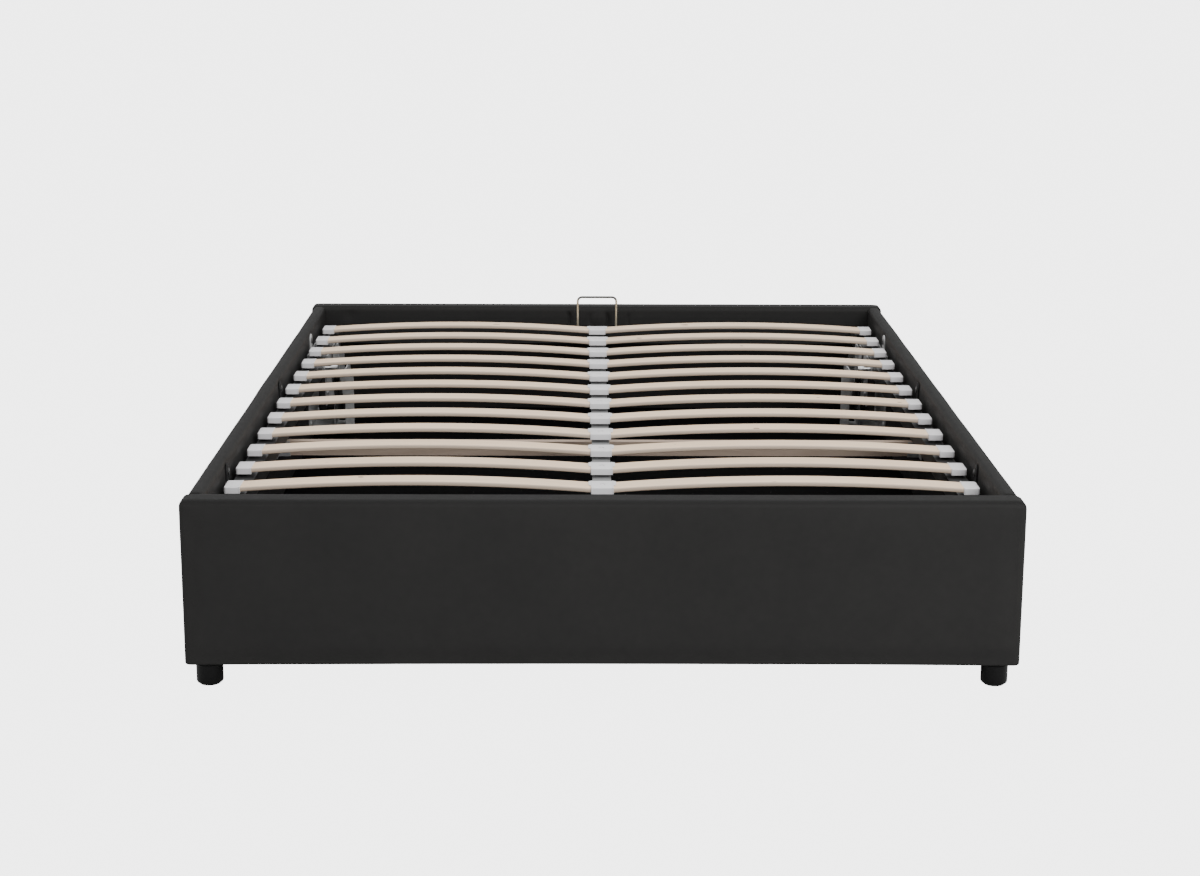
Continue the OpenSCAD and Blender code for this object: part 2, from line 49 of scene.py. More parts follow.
def unpick():
    """Nothing is selected and nothing is in edit mode."""
    if bpy.context.mode != "OBJECT":
        bpy.ops.object.mode_set(mode="OBJECT")
    bpy.ops.object.select_all(action="DESELECT")


def pick(piece):
    unpick()
    bpy.context.view_layer.objects.active = piece
    piece.select_set(True)


class Wire:
    """An output socket, or a sum of them, in one finish."""

    def __init__(self, finish, socket):
        self.finish = finish
        self.socket = socket

    def step(self, operation, *values):
        return self.finish.add("ShaderNodeMath", {"operation": operation}, dict(enumerate(values)))

    def __add__(self, other):
        return self.step("ADD", self, other)

    def __radd__(self, other):
        return self.step("ADD", other, self)

    def __sub__(self, other):
        return self.step("SUBTRACT", self, other)

    def __rsub__(self, other):
        return self.step("SUBTRACT", other, self)

    def __mul__(self, other):
        return self.step("MULTIPLY", self, other)

    def __rmul__(self, other):
        return self.step("MULTIPLY", other, self)

    def __truediv__(self, other):
        return self.step("DIVIDE", self, other)

    def __rtruediv__(self, other):
        return self.step("DIVIDE", other, self)

    def __abs__(self):
        return self.step("ABSOLUTE", self)

    def fraction(self):
        return self.step("FRACT", self)

    def clamp(self):
        return self.finish.add("ShaderNodeClamp", {}, {0: self})

    def above(self, edge, soft):
        """0 below edge, 1 above edge + soft."""
        return ((self - edge) / soft).clamp()


class Finish:
    """A material round one Principled shader. Numbers that don't vary go on the shader's own sockets."""

    def __init__(self, name, **fixed):
        self.material = bpy.data.materials.new(name)
        self.material.use_nodes = True
        self.tree = self.material.node_tree
        self.shader = self.tree.nodes["Principled BSDF"]
        self.set(**fixed)

    def plug(self, socket, value):
        if isinstance(value, Wire):
            self.tree.links.new(value.socket, socket)
        else:
            socket.default_value = value

    def set(self, **sockets):
        for name, value in sockets.items():
            self.plug(self.shader.inputs[name.replace("_", " ")], value)

    def add(self, kind, settings=None, sockets=None, out=0):
        node = self.tree.nodes.new(kind)
        for key, value in (settings or {}).items():
            setattr(node, key, value)
        for key, value in (sockets or {}).items():
            self.plug(node.inputs[key], value)
        return Wire(self, node.outputs[out])

    def place(self, scale=(1, 1, 1), move=(0, 0, 0)):
        """Object coordinates in metres, stretched by scale."""
        spot = self.add("ShaderNodeTexCoord", {}, {}, "Object")
        return self.add("ShaderNodeMapping", {}, {"Vector": spot, "Scale": scale, "Location": move})

    def axis(self, letter):
        """One object coordinate, in metres."""
        return self.add("ShaderNodeSeparateXYZ", {}, {0: self.place()}, letter)

    def noise(self, where, scale, detail=2.0, rough=0.5, twist=0.0):
        return self.add("ShaderNodeTexNoise", {}, {"Vector": where, "Scale": scale, "Detail": detail,
                                                   "Roughness": rough, "Distortion": twist}, "Fac")

    def cells(self, where, scale, feature="F1", out=0):
        return self.add("ShaderNodeTexVoronoi", {"feature": feature}, {"Vector": where, "Scale": scale}, out)

    def blend(self, mask, low, high):
        """A colour between low and high."""
        return self.add("ShaderNodeMix", {"data_type": "RGBA"}, {"Factor": mask, 6: low, 7: high}, 2)

    def bump(self, height, strength, distance):
        return self.add("ShaderNodeBump", {}, {"Height": height, "Strength": strength, "Distance": distance})


def grey(value, warm=0.0):
    return (value * (1 + warm), value, value * (1 - warm), 1)


unpick()
eye = Vector((-0.040, -5.061, 1.451))
look_down = math.radians(13.46)
look_right = math.radians(0.473)
lean_left = math.radians(0.22)
aim = Matrix.Rotation(-look_right, 3, "Z") @ Matrix.Rotation(math.pi / 2 - look_down, 3, "X")
bpy.ops.object.camera_add(location=eye, rotation=(aim @ Matrix.Rotation(lean_left, 3, "Z")).to_euler())
camera = bpy.context.object
camera.data.lens = 65.94
camera.data.sensor_width = 36
camera.data.clip_end = 90
bpy.context.scene.camera = camera

world = bpy.data.worlds.new("studio_air")
bpy.context.scene.world = world
world.use_nodes = True
air = world.node_tree
air.nodes["Background"].inputs["Color"].default_value = (1.0, 1.0, 1.0, 1)
air.nodes["Background"].inputs["Strength"].default_value = 0.95

unpick()
bpy.ops.mesh.primitive_plane_add(size=160)
floor = bpy.context.object
floor.name = "studio_floor"
floor_paint = Finish("floor_paint", Base_Color=grey(0.50), Roughness=0.8, Specular_IOR_Level=0.1)
floor.data.materials.append(floor_paint.material)

# The backdrop is lit by lamps of its own, which the camera sees and the bed isn't lit by.
backdrop_glow = 4.6
glow = floor_paint.add("ShaderNodeEmission", {}, {"Color": (1, 1, 1, 1), "Strength": backdrop_glow})
seen = floor_paint.add("ShaderNodeLightPath", {}, {}, "Is Camera Ray")
paint_out = Wire(floor_paint, floor_paint.shader.outputs[0])
both = floor_paint.add("ShaderNodeMixShader", {}, {0: seen * 0.93, 1: paint_out, 2: glow})
floor_paint.plug(floor_paint.tree.nodes["Material Output"].inputs["Surface"], both)

far_glow = air.nodes.new("ShaderNodeBackground")
far_glow.inputs["Strength"].default_value = backdrop_glow
air_seen = air.nodes.new("ShaderNodeLightPath")
air_mix = air.nodes.new("ShaderNodeMixShader")
air.links.new(air_seen.outputs["Is Camera Ray"], air_mix.inputs[0])
air.links.new(air.nodes["Background"].outputs[0], air_mix.inputs[1])
air.links.new(far_glow.outputs[0], air_mix.inputs[2])
air.links.new(air_mix.outputs[0], air.nodes["World Output"].inputs["Surface"])


def soft_light(name, place, aim, size, power):
    """A square studio lamp at place, turned to aim."""
    unpick()
    turn = (Vector(aim) - Vector(place)).to_track_quat("-Z", "Y").to_euler()
    bpy.ops.object.light_add(type="AREA", location=place, rotation=turn)
    lamp = bpy.context.object
    lamp.name = name
    lamp.data.size = size
    lamp.data.energy = power


soft_light("top_light", (0.2, 0.1, 4.2), (0, 0.1, 0.3), 4.0, 140)
soft_light("front_light", (2.6, -4.6, 2.6), (0.2, -0.6, 0.2), 2.4, 200)
soft_light("side_light", (-4.2, 0.6, 2.4), (0, 0.2, 0.2), 2.0, 30)


# ---- Boards inside the box panels ----
# Each end panel and side rail is a raw particle board under its cover. The boards give the box its strength.
# They are sawn square, drilled for the corner bolts, and show only where a cover is open.

def paint(material, *nodes):
    """Gives CAD pieces that are shown as they are their finish."""
    for name in nodes:
        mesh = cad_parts[name].data
        mesh.materials.clear()
        mesh.materials.append(material)


def particle_board():
    board = Finish("raw_board", Specular_IOR_Level=0.2)
    here = board.place()
    chips = board.cells(board.place((1, 0.45, 1)), 240.0)
    tone = board.noise(here, 35.0, 4.0, 0.6)
    board.set(Base_Color=board.blend((chips * 0.8 + tone * 0.5 - 0.1).clamp(), (0.17, 0.11, 0.06, 1),
                                     (0.42, 0.31, 0.20, 1)),
              Roughness=0.78 + tone * 0.15, Normal=board.bump(chips, 0.5, 0.0006))
    return board.material


paint(particle_board(), "foot_board", "head_board", "left_rail_board", "right_rail_board")


# ---- Padded covers of the four box panels ----
# Black faux leather over thin foam, wrapped round each board, folded at the ends and stapled underneath.
# The foam swells a little between the edges, and the leather puckers where a screw pulls it in.

def faux_leather():
    """Satin black with a fine pebble grain, and painted shade: surfaces that face upwards are coloured
    darker.
    """
    skin = Finish("faux_leather", Specular_IOR_Level=0.07)
    here = skin.place()
    cloud = skin.noise(here, 6.0, 4.0, 0.6)
    blotch = skin.noise(here, 55.0, 3.0, 0.55)
    pebble = skin.cells(here, 620.0, "DISTANCE_TO_EDGE")
    pores = skin.noise(here, 1500.0, 2.0, 0.6)
    tone = cloud * 0.6 + blotch * 0.4
    facing = skin.add("ShaderNodeTexCoord", {}, {}, "Normal")
    upward = skin.add("ShaderNodeSeparateXYZ", {}, {0: facing}, "Z").above(0.25, 0.6)
    # Painted shade: surfaces facing upwards are given a darker tone than the sides.
    face = skin.blend(tone, grey(0.0150, 0.01), grey(0.0235, 0.03))
    shaded_top_tone = skin.blend(tone, grey(0.0078, 0.01), grey(0.0110, 0.03))
    skin.set(Base_Color=skin.blend(upward, face, shaded_top_tone),
             Roughness=0.47 + blotch * 0.12 + cloud * 0.06)
    grain = (pebble * 6.0).clamp() * 0.7 + pores * 0.3
    skin.set(Normal=skin.bump(grain + cloud * 0.5, 0.14, 0.0004))
    return skin.material


def slab(name, low, high):
    """A cuboid between two corners, with its object at the origin."""
    unpick()
    low, high = Vector(low), Vector(high)
    bpy.ops.mesh.primitive_cube_add(size=1, location=(low + high) / 2)
    piece = bpy.context.object
    piece.name = name
    piece.data.name = name
    piece.scale = high - low
    bpy.ops.object.transform_apply(location=True, rotation=True, scale=True)
    return piece


def edit(piece, edge=None, vertex=None):
    """Goes into edit mode with just the edges or points picked that the test accepts."""
    pick(piece)
    mesh = piece.data
    for group in (mesh.vertices, mesh.edges, mesh.polygons):
        group.foreach_set("select", [False] * len(group))
    bpy.context.tool_settings.mesh_select_mode = (edge is None, edge is not None, False)
    if edge:
        for e in mesh.edges:
            e.select = edge(*(mesh.vertices[v].co for v in e.vertices))
    else:
        for v in mesh.vertices:
            v.select = vertex(v.co)
    bpy.ops.object.mode_set(mode="EDIT")
    bpy.ops.mesh.select_mode(type="EDGE" if edge else "VERT")


def along(axis):
    """A test for edges that run along one axis, 0 to 2."""
    def test(a, b):
        run = b - a
        return abs(run[axis]) > 0.9 * run.length
    return test


def apply_modifier(piece, kind, **settings):
    pick(piece)
    modifier = piece.modifiers.new(kind.lower(), kind)
    for key, value in settings.items():
        setattr(modifier, key, value)
    bpy.ops.object.modifier_apply(modifier=modifier.name)


def smooth(piece, angle=40):
    pick(piece)
    bpy.ops.object.shade_smooth_by_angle(angle=math.radians(angle))


def settle(piece, material, body, *nodes):
    """The piece gets its finish, moves with a body, and stands for the CAD nodes named."""
    piece.data.materials.clear()
    piece.data.materials.append(material)
    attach(piece, body)
    if nodes:
        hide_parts(*nodes)
    return piece


def stations(low, high, first, last, step, dense=()):
    """The grid lines of a padded slab along one axis: close over its roundings and its dense stretches."""
    places = [low + first * k / 4 for k in range(4)]
    here = low + first
    end = high - last
    while here < end - 1e-6:
        places.append(here)
        near = min([s for a, b, s in dense if a - s <= here <= b] + [step])
        left = end - here
        here = end if left < 1.5 * near else here + near
    return places + [high - last + last * k / 4 for k in range(5)]


def padded_slab(name, lines, rounds):
    """A slab with the given grid lines. rounds gives the radii at its low and high faces, by axis."""
    low = Vector([line[0] for line in lines])
    high = Vector([line[-1] for line in lines])
    pad = slab(name, low, high)
    for axis in range(3):
        edit(pad, edge=along(axis))
        bpy.ops.mesh.subdivide(number_cuts=len(lines[axis]) - 2)
        unpick()
    for vertex in pad.data.vertices:
        into = [0.0, 0.0, 0.0]
        core = [0.0, 0.0, 0.0]
        reach = [1.0, 1.0, 1.0]
        for axis in range(3):
            count = len(lines[axis]) - 1
            share = (vertex.co[axis] - low[axis]) / (high[axis] - low[axis])
            p = lines[axis][round(share * count)]
            r_low, r_high = rounds[axis]
            core[axis] = min(max(p, low[axis] + r_low), high[axis] - r_high)
            reach[axis] = r_low if p < core[axis] else r_high
            into[axis] = (p - core[axis]) / reach[axis]
        size = math.sqrt(sum(d * d for d in into))
        shrink = max(1.0, size / max(abs(d) for d in into)) if size > 0 else 1.0
        vertex.co = [core[axis] + into[axis] * reach[axis] / shrink for axis in range(3)]
    return pad


def swell(piece, held, tight, limit, pressure):
    """Blows the foam up a little under the leather. Points where held() is true stay, and others move out
    at most limit, and less where tight() says that the leather is stretched over an edge."""
    start = [(v.co.copy(), v.normal.copy()) for v in piece.data.vertices]
    pins = piece.vertex_groups.new(name="held")
    pins.add([v.index for v in piece.data.vertices if held(v.co)], 1.0, "REPLACE")
    pick(piece)
    cloth = piece.modifiers.new("foam", "CLOTH")
    cloth.settings.vertex_group_mass = "held"
    cloth.settings.use_pressure = True
    cloth.settings.uniform_pressure_force = pressure
    cloth.settings.tension_stiffness = 12
    cloth.settings.compression_stiffness = 12
    cloth.settings.bending_stiffness = 0.4
    cloth.settings.effector_weights.gravity = 0
    cloth.point_cache.frame_start = 1
    cloth.point_cache.frame_end = 14
    for number in range(1, 15):
        bpy.context.scene.frame_set(number)
    bpy.ops.object.modifier_apply(modifier="foam")
    bpy.context.scene.frame_set(1)
    for vertex, (before, outward) in zip(piece.data.vertices, start):
        move = vertex.co - before
        move -= outward * min(move.dot(outward), 0.0)
        move *= 1 - tight(before)
        vertex.co = before + move * min(1.0, limit / max(move.length, 1e-9))
    piece.vertex_groups.clear()


def ease(t):
    t = min(max(t, 0.0), 1.0)
    return t * t * (3 - 2 * t)


def dent(spot, centre, width, height, tail=0.0):
    """A pucker, 1 at its centre, with a fold below it of length tail."""
    a = (spot[0] - centre[0]) / width
    b = (spot[1] - centre[1]) / height
    pull = math.exp(-(a * a + b * b))
    if tail:
        drop = (centre[1] - spot[1]) / tail
        pull += 0.45 * math.exp(-a * a * 5) * ease(drop * 4) * (1 - ease(drop))
    return pull


def crease(spot, centre, half, bulge, width):
    """A curved crease, 1 along its line. It bulges to the right by bulge, and is 2 * half high."""
    up = (spot[1] - centre[1]) / half
    line = centre[0] + bulge * (1 - up * up)
    return math.exp(-((spot[0] - line) / width) ** 2) * ease(1.6 * (1 - abs(up)))


def ripple(p, seed, size, height):
    """Slow unevenness of the foam under the skin."""
    return height * noise.noise(Vector(p) / size + Vector((seed, seed * 0.7, -seed)))


leather = faux_leather()
pad_step = 0.014
skin_in = 0.0004
crown = 0.0046
hem_drop = 0.0030
top_round = 0.013
hem_round = 0.005
bow_up = 0.0028


def cover(node, rounds, steps, dense, through, shape):
    """The padded cover of one panel. through is the axis through its thickness; shape moves its points."""
    low, high = [Vector(c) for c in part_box(node)]
    ends = [(low[0] + skin_in, high[0] - skin_in), (low[1] + skin_in, high[1] - skin_in),
            (low[2] - hem_drop, high[2] + crown)]
    lines = [stations(*ends[a], *rounds[a], steps[a], dense[a]) for a in range(3)]
    pad = padded_slab(node + "_pad", lines, rounds)
    middle = (low + high) / 2
    outward = 1 if middle[through] > 0 else -1

    def held(p):
        under = p.z < low.z + 0.02
        inner = (p[through] - middle[through]) * outward < 0
        return under or (inner and p.z < high.z - 0.03)

    def tight(p):
        return 0.9 * ease((p.z - high.z + 0.035) / 0.02)

    swell(pad, held, tight, 0.003, 1.2)
    apply_modifier(pad, "SUBSURF", levels=1, render_levels=1)
    for vertex in pad.data.vertices:
        vertex.co += Vector(shape(vertex.co))
    smooth(pad, 80)
    settle(pad, leather, "bed_box", node)


panel_low, panel_high = [Vector(c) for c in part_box("foot_cover")]
head_low, head_high = [Vector(c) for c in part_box("head_cover")]
end_rounds = ((0.012, 0.012), (0.012, 0.012), (hem_round, top_round))
end_steps = (pad_step, 0.007, pad_step)


def end_fold(p, face_y):
    """How far a panel's end is drawn in along the fold of the leather there."""
    at_end = ease((abs(p.x) - panel_high.x + 0.006) / 0.004)
    fold = math.exp(-((p.y - face_y) / 0.0035) ** 2) * ease((panel_high.z - 0.012 - p.z) / 0.02)
    return -0.0016 * at_end * fold * (1 if p.x > 0 else -1)


def hem_lift(p):
    """The lower hem of an end panel bows up a little between its legs."""
    return bow_up * ease((panel_low.z + 0.10 - p.z) / 0.10) * (1 - (p.x / panel_high.x) ** 2)


def corner_droop(p):
    """The leather is drawn down over a panel's top corners, further at the right-hand ones."""
    reach = 0.024 if p.x > 0 else 0.012
    outer = min(max((abs(p.x) - panel_high.x + reach) / reach, 0.0), 1.0)
    return -0.17 * reach * outer ** 2.2 * ease((p.z - panel_high.z + 0.12) / 0.12)


def foot_shape(p):
    front = ease((panel_high.y - 0.02 - p.y) / 0.02)
    sag = ripple(p, 3.1, 0.22, 0.0010) + ripple(p, 7.7, 0.07, 0.0003)
    return (end_fold(p, panel_high.y - 0.016), sag * front, hem_lift(p) + corner_droop(p))


def head_shape(p):
    inner = ease((head_low.y + 0.03 - p.y) / 0.02)
    spot = (p.x, p.z)
    pull = 0.0052 * crease(spot, (-0.080, 0.338), 0.026, 0.004, 0.0042)
    pull += 0.0052 * crease(spot, (0.027, 0.336), 0.026, 0.004, 0.0042)
    pull += 0.0022 * crease(spot, (-0.017, 0.340), 0.022, -0.004, 0.0040)
    pull += 0.0028 * crease(spot, (0.092, 0.336), 0.024, -0.004, 0.0045)
    pull += 0.0030 * dent(spot, (-0.690, 0.350), 0.014, 0.014, 0.06)
    pull -= 0.0030 * dent(spot, (0.005, 0.338), 0.020, 0.024)
    back = ripple(p, 5.3, 0.2, 0.001) * (1 - inner)
    return (end_fold(p, head_low.y + 0.016), pull * inner + back, hem_lift(p) + 0.3 * corner_droop(p))


lug_y = (-0.740, 0.060, 0.660)


def rail_shape(side):
    """A rail's outer face is a little uneven, and the leather puckers at the lugs on its inner face."""
    inner_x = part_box("right_rail_cover")[0][0]

    def shape(p):
        inner = ease((inner_x + 0.016 - abs(p.x)) / 0.01)
        pull = sum(dent((p.y, p.z), (y, 0.356), 0.024, 0.014, 0.08) for y in lug_y)
        outer = ripple(p, 1.7 + side, 0.25, 0.0012) + ripple(p, 9.1 - side, 0.08, 0.0003)
        return (side * (0.0026 * pull * inner + outer * (1 - inner)), 0, 0)
    return shape


head_dense = ([(-0.105, 0.112, 0.0045)], [], [(0.285, 0.357, 0.006)])
cover("foot_cover", end_rounds, end_steps, ((), (), ()), 1, foot_shape)
cover("head_cover", end_rounds, end_steps, head_dense, 1, head_shape)
rail_rounds = ((0.012, 0.012), (0.003, 0.003), (hem_round, top_round))
rail_steps = (0.006, pad_step, pad_step)
rail_dense = ((), [(y - 0.04, y + 0.04, 0.008) for y in lug_y], [(0.285, 0.357, 0.008)])
cover("left_rail_cover", rail_rounds, rail_steps, rail_dense, 0, rail_shape(-1))
cover("right_rail_cover", rail_rounds, rail_steps, rail_dense, 0, rail_shape(1))


# ---- Staples along the hems ----
# Thin wire staples hold the leather along the underside of every panel.
# They are shot in with a staple gun, one every few centimetres.

def zinc(name, low, high, rough, bare=1.0):
    """Galvanised steel with a faint crystal pattern and fine scratches. Below 1, bare leaves a dull skin."""
    steel = Finish(name, Metallic=bare)
    here = steel.place()
    crystal = steel.cells(here, 190.0, "F1", "Color")
    patch = steel.add("ShaderNodeSeparateColor", {}, {0: crystal}, 0)
    stain = steel.noise(here, 22.0, 4.0, 0.6)
    scratch = steel.noise(steel.place((1, 1, 0.06)), 900.0, 2.0, 0.5)
    steel.set(Base_Color=steel.blend((patch * 0.35 + stain * 0.65).clamp(), low, high),
              Roughness=rough + patch * 0.08 + scratch * 0.10, Normal=steel.bump(scratch, 0.10, 0.0002))
    return steel.material


def joined(pieces, name):
    unpick()
    for piece in pieces:
        piece.select_set(True)
    bpy.context.view_layer.objects.active = pieces[0]
    if len(pieces) > 1:
        bpy.ops.object.join()
    pieces[0].name = name
    pieces[0].data.name = name
    return pieces[0]


def copies(master, places, name):
    """One piece made of master repeated at each of the matrices."""
    made = []
    for place in places:
        pick(master)
        bpy.ops.object.duplicate()
        twin = bpy.context.object
        twin.data.transform(place)
        made.append(twin)
    bpy.data.objects.remove(master)
    return joined(made, name)


zinc_steel = zinc("zinc_steel", grey(0.50), grey(0.70, -0.01), 0.30)


def staple_row(start, end, across):
    """Staples every 38 mm between two points; across is True if they lie across the row."""
    start, end = Vector(start), Vector(end)
    run = end - start
    half = Vector((0.0045, 0.0005, 0.0006)) if (run.x > run.y) != across else Vector((0.0005, 0.0045, 0.0006))
    staple = slab("staple", start - half, start + half)
    count = int(run.length / 0.038)
    apply_modifier(staple, "ARRAY", count=count, use_relative_offset=False, use_constant_offset=True,
                   constant_offset_displace=run / count)
    return staple


hem_z = panel_low.z - hem_drop + 0.0001
rail_low, rail_high = [Vector(c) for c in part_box("right_rail_cover")]
rows = [staple_row((-0.70, y, hem_z), (0.70, y, hem_z), False)
        for y in (panel_low.y + 0.018, panel_high.y - 0.016, head_low.y + 0.016, head_high.y - 0.018)]
end_staples = joined(rows, "end_panel_staples")
for vertex in end_staples.data.vertices:
    vertex.co.z += hem_lift(vertex.co)
settle(end_staples, zinc_steel, "bed_box")
rail_mid = (rail_low.x + rail_high.x) / 2
rows = [staple_row((x, -0.98, hem_z), (x, 0.98, hem_z), False) for x in (-rail_mid, rail_mid)]
settle(joined(rows, "rail_staples"), zinc_steel, "bed_box")


# ---- Corner brackets and bolts ----
# A pressed steel angle in each corner, with hex-socket bolts that draw rail and end panel together.
# Bright zinc, with a washer under each head.

def placed(point, direction):
    """Turns a part built up from the origin along Z so that it stands at point along direction."""
    turn = Vector(direction).to_track_quat("Z", "Y").to_matrix().to_4x4()
    return Matrix.Translation(point) @ turn


def round_bar(name, radius, low, high, sides=24):
    unpick()
    bpy.ops.mesh.primitive_cylinder_add(vertices=sides, radius=radius, depth=high - low,
                                        location=(0, 0, (low + high) / 2))
    bar = bpy.context.object
    bar.name = name
    bpy.ops.object.transform_apply(location=True, rotation=True, scale=True)
    return bar


def cut(piece, tool):
    """Takes tool's volume out of piece."""
    apply_modifier(piece, "BOOLEAN", object=tool, operation="DIFFERENCE", solver="EXACT")
    bpy.data.objects.remove(tool)


def bolt(radius, height, shank_r, shank_l):
    """A button-head bolt with a hex socket, its head above the origin, with a washer."""
    head = round_bar("bolt", radius, 0.0008, height, 32)
    edit(head, edge=lambda a, b: a.z > height - 1e-5 and b.z > height - 1e-5)
    bpy.ops.mesh.bevel(offset=height * 0.38, segments=4)
    unpick()
    cut(head, round_bar("socket", radius * 0.46, height * 0.45, height * 1.5, 6))
    washer = round_bar("washer", radius * 1.22, 0, 0.0010, 32)
    shank = round_bar("shank", shank_r, -shank_l, 0.001, 16)
    whole = joined([head, washer, shank], "bolt")
    smooth(whole, 35)
    return whole


grey_steel = zinc("grey_steel", grey(0.30), grey(0.42, -0.01), 0.45, 0.25)
paint(grey_steel, "corner_brackets")
rail_face = rail_low.x - 0.003
end_face = head_low.y - 0.003
corner_spots = []
for z in (0.135, 0.225):
    for sx in (-1, 1):
        for sy in (-1, 1):
            corner_spots.append(placed((sx * rail_face, sy * (head_low.y - 0.031), z), (-sx, 0, 0)))
            corner_spots.append(placed((sx * (rail_low.x - 0.031), sy * end_face, z), (0, -sy, 0)))
settle(copies(bolt(0.007, 0.004, 0.004, 0.022), corner_spots, "frame_bolt_set"), zinc_steel, "bed_box",
       "frame_bolts")


# ---- Legs ----
# Short turned legs of glossy black plastic, one under each corner, with a groove near the top
# and a pad below. Three plainer ones stand under the middle of the storage floor.

def plastic(name, low, high, rough, relief, shine=0.4):
    """Moulded plastic: almost even, with a fine moulded texture."""
    mould = Finish(name, Specular_IOR_Level=shine)
    here = mould.place()
    cloud = mould.noise(here, 30.0, 3.0, 0.5)
    texture = mould.noise(here, 1300.0, 2.0, 0.5)
    mould.set(Base_Color=mould.blend(cloud, low, high), Roughness=rough + cloud * 0.06 + texture * 0.05,
              Normal=mould.bump(texture + cloud * 0.4, relief, 0.0002))
    return mould.material


def turned(name, profile, steps=64):
    """A lathe shape from (radius, height) points, bottom to top."""
    unpick()
    bpy.ops.mesh.primitive_plane_add(size=1)
    piece = bpy.context.object
    piece.name = name
    edit(piece, vertex=lambda p: True)
    bpy.ops.mesh.merge(type="CENTER")
    bpy.ops.mesh.select_all(action="SELECT")
    bpy.ops.object.mode_set(mode="OBJECT")
    piece.data.vertices[0].co = (profile[0][0], 0, profile[0][1])
    for before, after in zip(profile, profile[1:]):
        edit(piece, vertex=lambda p: (p - Vector((before[0], 0, before[1]))).length < 1e-7)
        move = (after[0] - before[0], 0, after[1] - before[1])
        bpy.ops.mesh.extrude_region_move(TRANSFORM_OT_translate={"value": move})
        bpy.ops.object.mode_set(mode="OBJECT")
    edit(piece, vertex=lambda p: True)
    bpy.ops.mesh.spin(steps=steps, angle=2 * math.pi, center=(0, 0, 0), axis=(0, 0, 1))
    bpy.ops.mesh.select_all(action="SELECT")
    bpy.ops.mesh.remove_doubles(threshold=0.00001)
    bpy.ops.mesh.normals_make_consistent(inside=False)
    unpick()
    smooth(piece, 35)
    return piece


leg_gloss = plastic("leg_plastic", grey(0.003), grey(0.005), 0.16, 0.03, 0.18)
leg_profile = [(0, 0), (0.0195, 0), (0.0205, 0.001), (0.0205, 0.0025), (0.0225, 0.0030), (0.0245, 0.0042),
               (0.0257, 0.0062), (0.026, 0.009), (0.026, 0.0415), (0.0252, 0.0424), (0.0252, 0.0436),
               (0.026, 0.0445), (0.026, 0.0490), (0.0252, 0.0499), (0.0050, 0.0500), (0.0040, 0.0510),
               (0.0040, 0.0855), (0, 0.086)]
for node in ("leg_foot_left", "leg_foot_right", "leg_head_left", "leg_head_right"):
    low, high = [Vector(c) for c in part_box(node)]
    leg = turned(node + "_turned", leg_profile)
    leg.data.transform(Matrix.Translation(((low.x + high.x) / 2, (low.y + high.y) / 2, 0)))
    settle(leg, leg_gloss, "bed_box", node)
low, high = [Vector(c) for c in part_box("centre_legs")]
mid_profile = [(0, 0), (0.018, 0), (0.020, 0.0015), (0.020, 0.0065), (0.0185, 0.008), (0.0125, 0.0085),
               (0.0105, 0.0105), (0.010, 0.014), (0.010, 0.0575), (0, 0.058)]
spots = [Matrix.Translation((0, y, 0)) for y in (low.y + 0.020, 0, high.y - 0.020)]
settle(copies(turned("centre_leg", mid_profile, 40), spots, "centre_leg_set"), leg_gloss, "bed_box",
       "centre_legs")


# ---- Storage floor ----
# Four thin boards lie on a frame of pine battens. They are foiled black above and raw below.

def sawn_wood(name, pale, dark, stretch, rings):
    """Planed softwood whose grain runs along the axis with the smallest stretch."""
    wood = Finish(name, Specular_IOR_Level=0.25)
    grain = wood.noise(wood.place(stretch), 6.0, 5.0, 0.6, 1.2)
    line = abs((wood.noise(wood.place(stretch), 2.0, 2.0, 0.4, 0.6) * rings).fraction() - 0.5) * 2
    pore = wood.noise(wood.place(tuple(4 * s for s in stretch)), 30.0, 2.0, 0.5)
    tone = (grain * 0.55 + line * 0.35 + pore * 0.2 - 0.05).clamp()
    wood.set(Base_Color=wood.blend(tone, pale, dark), Roughness=0.62 + pore * 0.2,
             Normal=wood.bump(line * 0.6 + pore * 0.4, 0.25, 0.0005))
    return wood.material


def foiled_board():
    """Black foil with a fine fabric print and a few light specks of dust; raw brown fibre underneath."""
    board = Finish("floor_laminate", Specular_IOR_Level=0.03)
    here = board.place()
    weave = board.noise(board.place((1, 0.3, 1)), 800.0, 2.0, 0.6)
    cloud = board.noise(here, 8.0, 3.0, 0.5)
    speck = board.cells(here, 75.0)
    dust = board.noise(here, 210.0, 1.0, 0.5).above(0.70, 0.04) * (0.22 - speck).above(0.0, 0.03)
    top = board.blend((weave * 0.5 + cloud * 0.5).clamp(), grey(0.0010), grey(0.0022, 0.03))
    top = board.blend(dust * 0.7, top, grey(0.25, 0.02))
    under = board.blend(board.noise(here, 90.0, 4.0, 0.6), (0.16, 0.10, 0.055, 1), (0.27, 0.18, 0.10, 1))
    face = board.axis("Z").above(0.0795, 0.0005)
    board.set(Base_Color=board.blend(face, under, top), Roughness=0.72 + weave * 0.2,
              Normal=board.bump(weave, 0.25, 0.0003))
    return board.material


paint(sawn_wood("batten_wood", (0.58, 0.42, 0.24, 1), (0.40, 0.26, 0.13, 1), (9, 1.2, 9), 9),
      "floor_battens", "floor_centre_batten")
paint(foiled_board(), "floor_boards")


# ---- Cross rail at mid-length ----
# A pale planed board on edge, dropped into two pressed steel hangers, keeps the side rails from spreading.

paint(sawn_wood("cross_rail_wood", (0.54, 0.43, 0.35, 1), (0.42, 0.32, 0.25, 1), (1.2, 10, 10), 7),
      "mid_cross_rail")
paint(grey_steel, "cross_rail_hangers")


# ---- Rests for the platform ----
# Folded steel brackets with a round ear, screwed to the rails, with a rubber pad that the side tubes land on.

